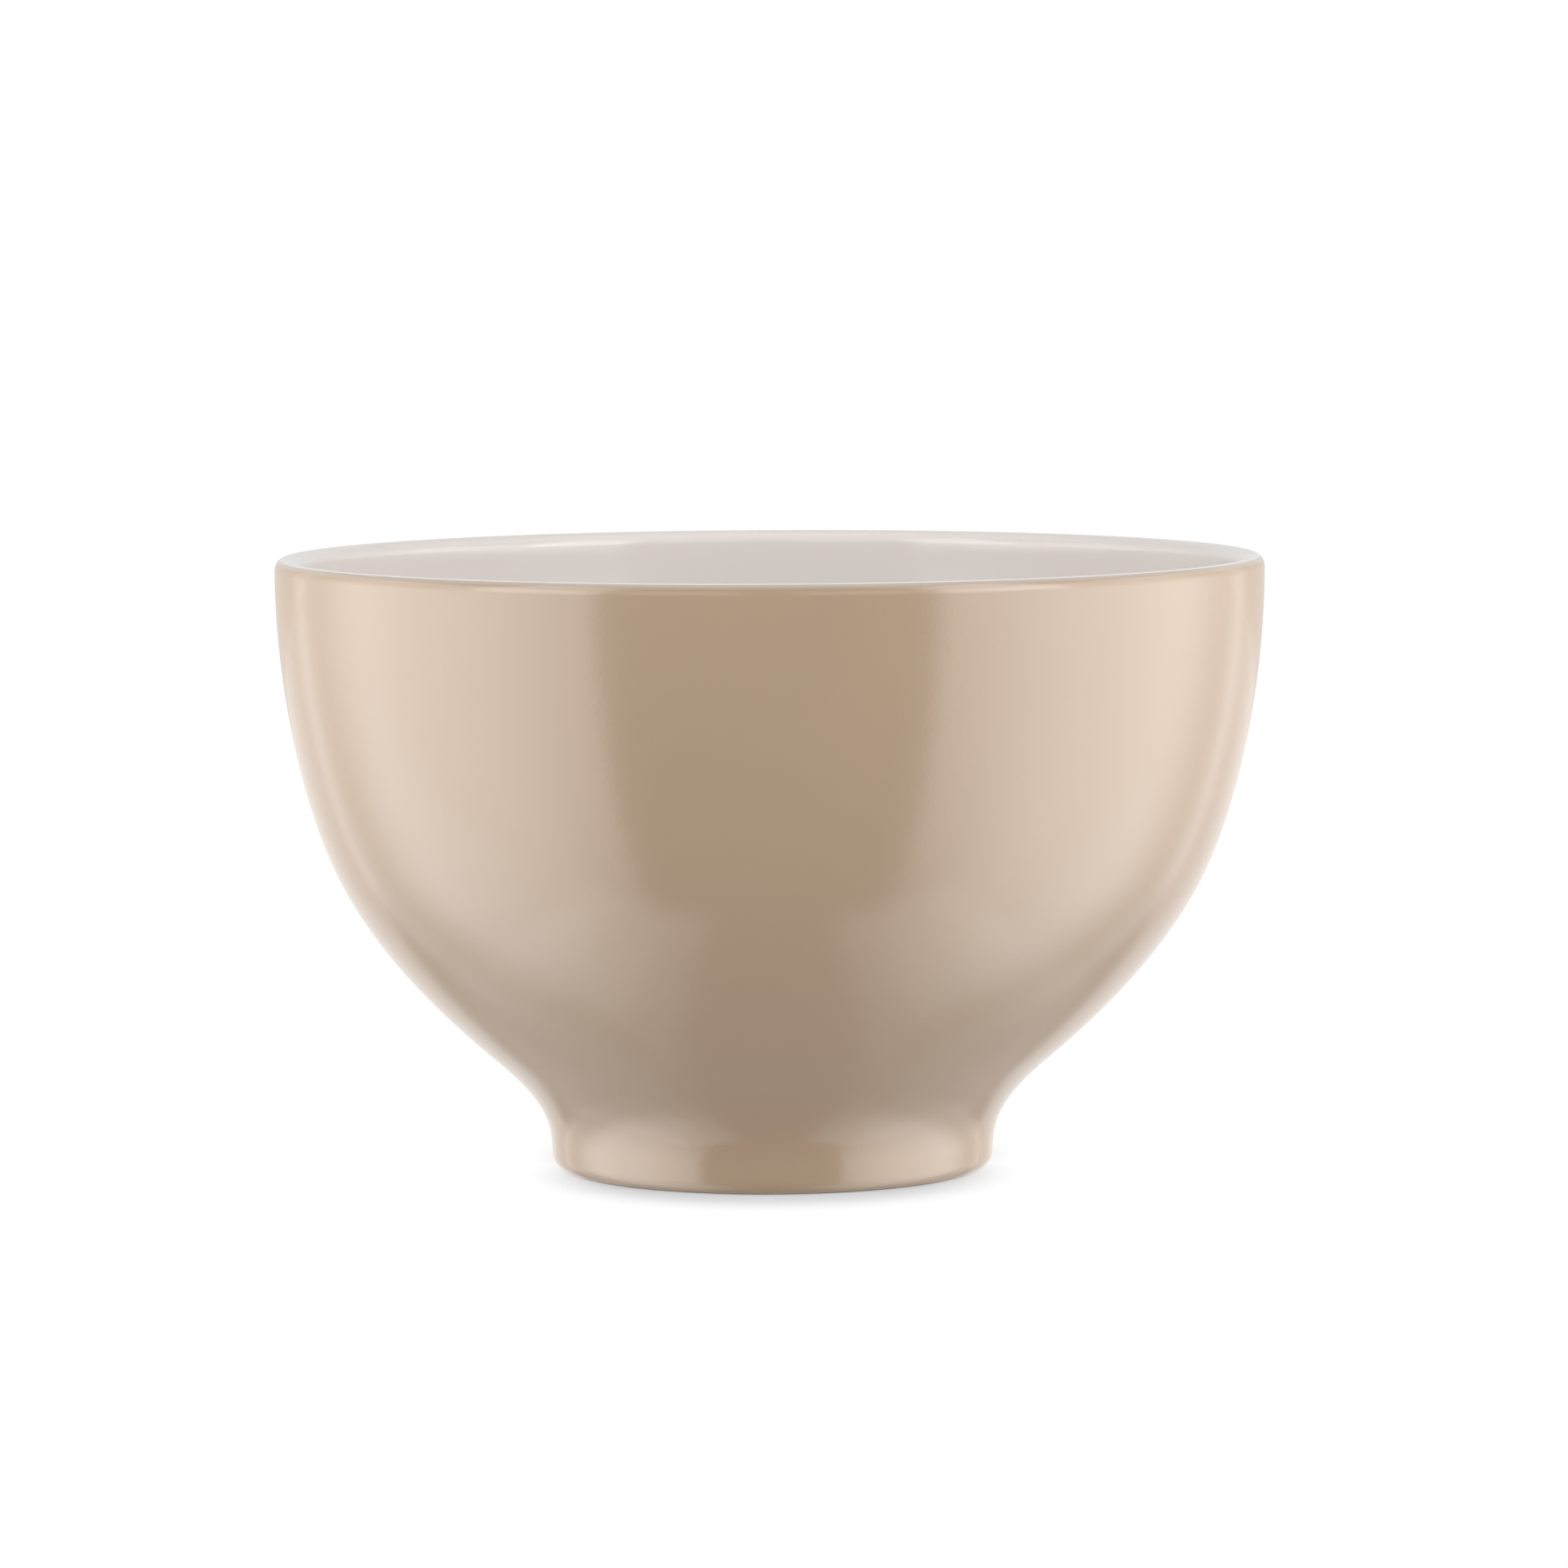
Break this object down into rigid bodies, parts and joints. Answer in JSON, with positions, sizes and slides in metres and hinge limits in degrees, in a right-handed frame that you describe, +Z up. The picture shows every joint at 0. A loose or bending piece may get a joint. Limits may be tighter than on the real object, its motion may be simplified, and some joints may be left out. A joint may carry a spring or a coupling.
{
  "type": "latte bowl",
  "caption": "Round footed ceramic latte bowl without a handle, beige satin glaze outside and glossy white glaze inside that laps over the thin lip.",
  "frame": {"origin": "centre of the foot ring, on the flat that stands on the table", "axes": "+Z up along the axis that the bowl is turned about, through the middle of the mouth; X and Y are alike"},
  "size_m": [0.14, 0.14, 0.087],
  "materials": {
    "fired_clay": "matte",
    "white_glaze": "gloss",
    "beige_glaze": "satin"
  },
  "bodies": {
    "root": {"stoneware_body": "fired_clay", "inner_glaze": "white_glaze", "outer_glaze": "beige_glaze", "foot_hollow_glaze": "beige_glaze"}
  },
  "joints": []
}
